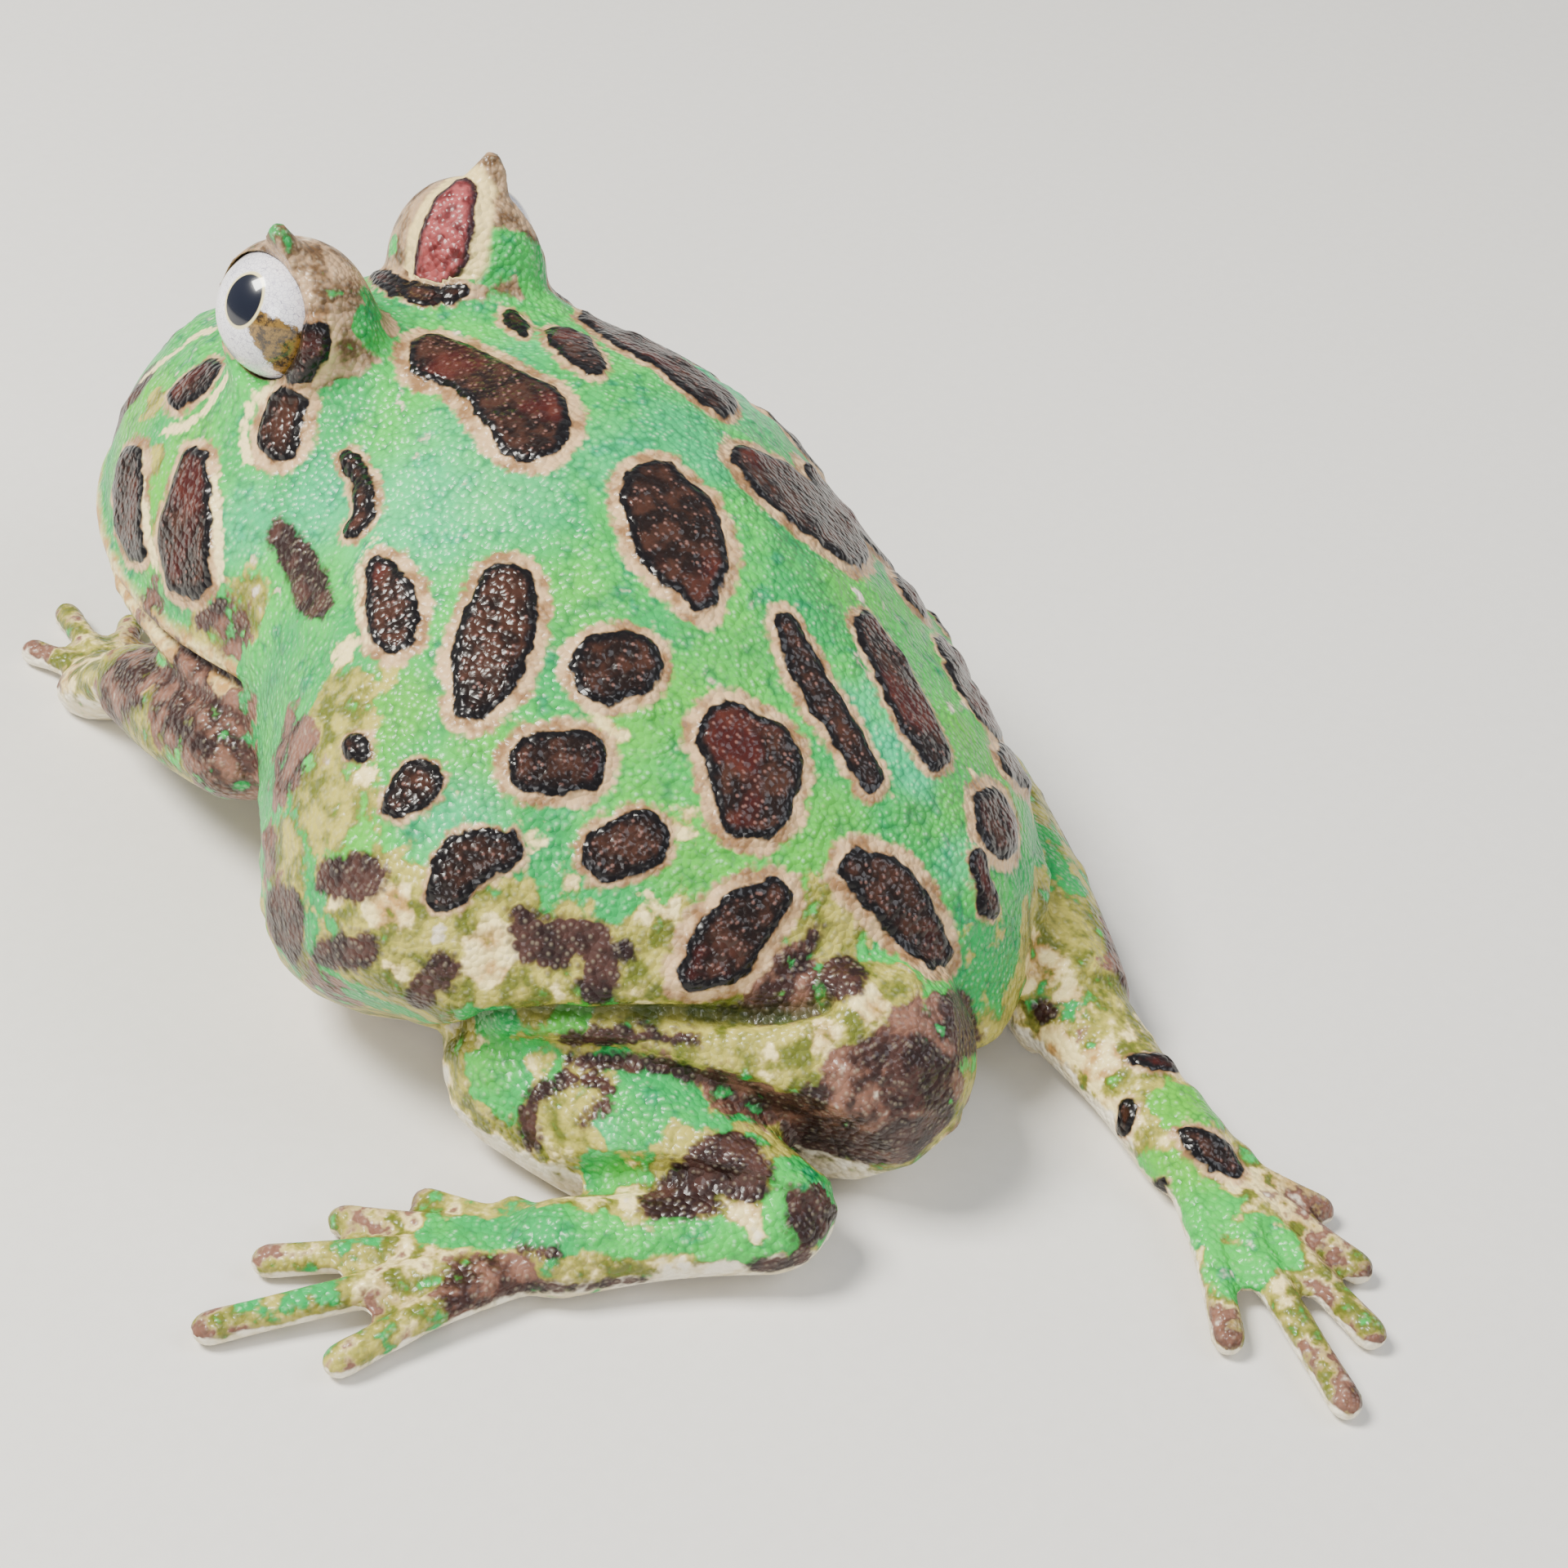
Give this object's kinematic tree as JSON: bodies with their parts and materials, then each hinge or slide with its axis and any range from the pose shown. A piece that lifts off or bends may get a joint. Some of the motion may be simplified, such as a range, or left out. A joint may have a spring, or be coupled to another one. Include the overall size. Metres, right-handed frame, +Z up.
{
  "type": "horned frog",
  "caption": "Squat horned frog at rest, with a very wide head, horned eyelids and a fat body, its left hind leg folded beside it and the right one stretched out behind.",
  "frame": {"origin": "middle of the whole frog's bounding box, at floor level", "axes": "-Y is the way the snout points, +X is the frog's left and +Z is up"},
  "size_m": [0.0768, 0.115, 0.0427],
  "materials": {
    "head": "satin, moist",
    "lower_jaw": "satin, moist",
    "torso": "satin, moist",
    "eye_left": "polished",
    "eyelid_left": "satin, moist",
    "upper_arm_left": "satin, moist",
    "forearm_left": "satin, moist",
    "hand_left": "satin, moist",
    "thigh_left": "satin, moist",
    "shank_left": "satin, moist",
    "foot_left": "satin, moist",
    "eye_right": "polished",
    "eyelid_right": "satin, moist",
    "upper_arm_right": "satin, moist",
    "forearm_right": "satin, moist",
    "hand_right": "satin, moist",
    "thigh_right": "satin, moist",
    "shank_right": "satin, moist",
    "foot_right": "satin, moist"
  },
  "bodies": {
    "root": {"head": "head", "lower_jaw": "lower_jaw", "torso": "torso", "eye_left": "eye_left", "eyelid_left": "eyelid_left", "upper_arm_left": "upper_arm_left", "forearm_left": "forearm_left", "hand_left": "hand_left", "thigh_left": "thigh_left", "shank_left": "shank_left", "foot_left": "foot_left", "eye_right": "eye_right", "eyelid_right": "eyelid_right", "upper_arm_right": "upper_arm_right", "forearm_right": "forearm_right", "hand_right": "hand_right", "thigh_right": "thigh_right", "shank_right": "shank_right", "foot_right": "foot_right"}
  },
  "joints": []
}
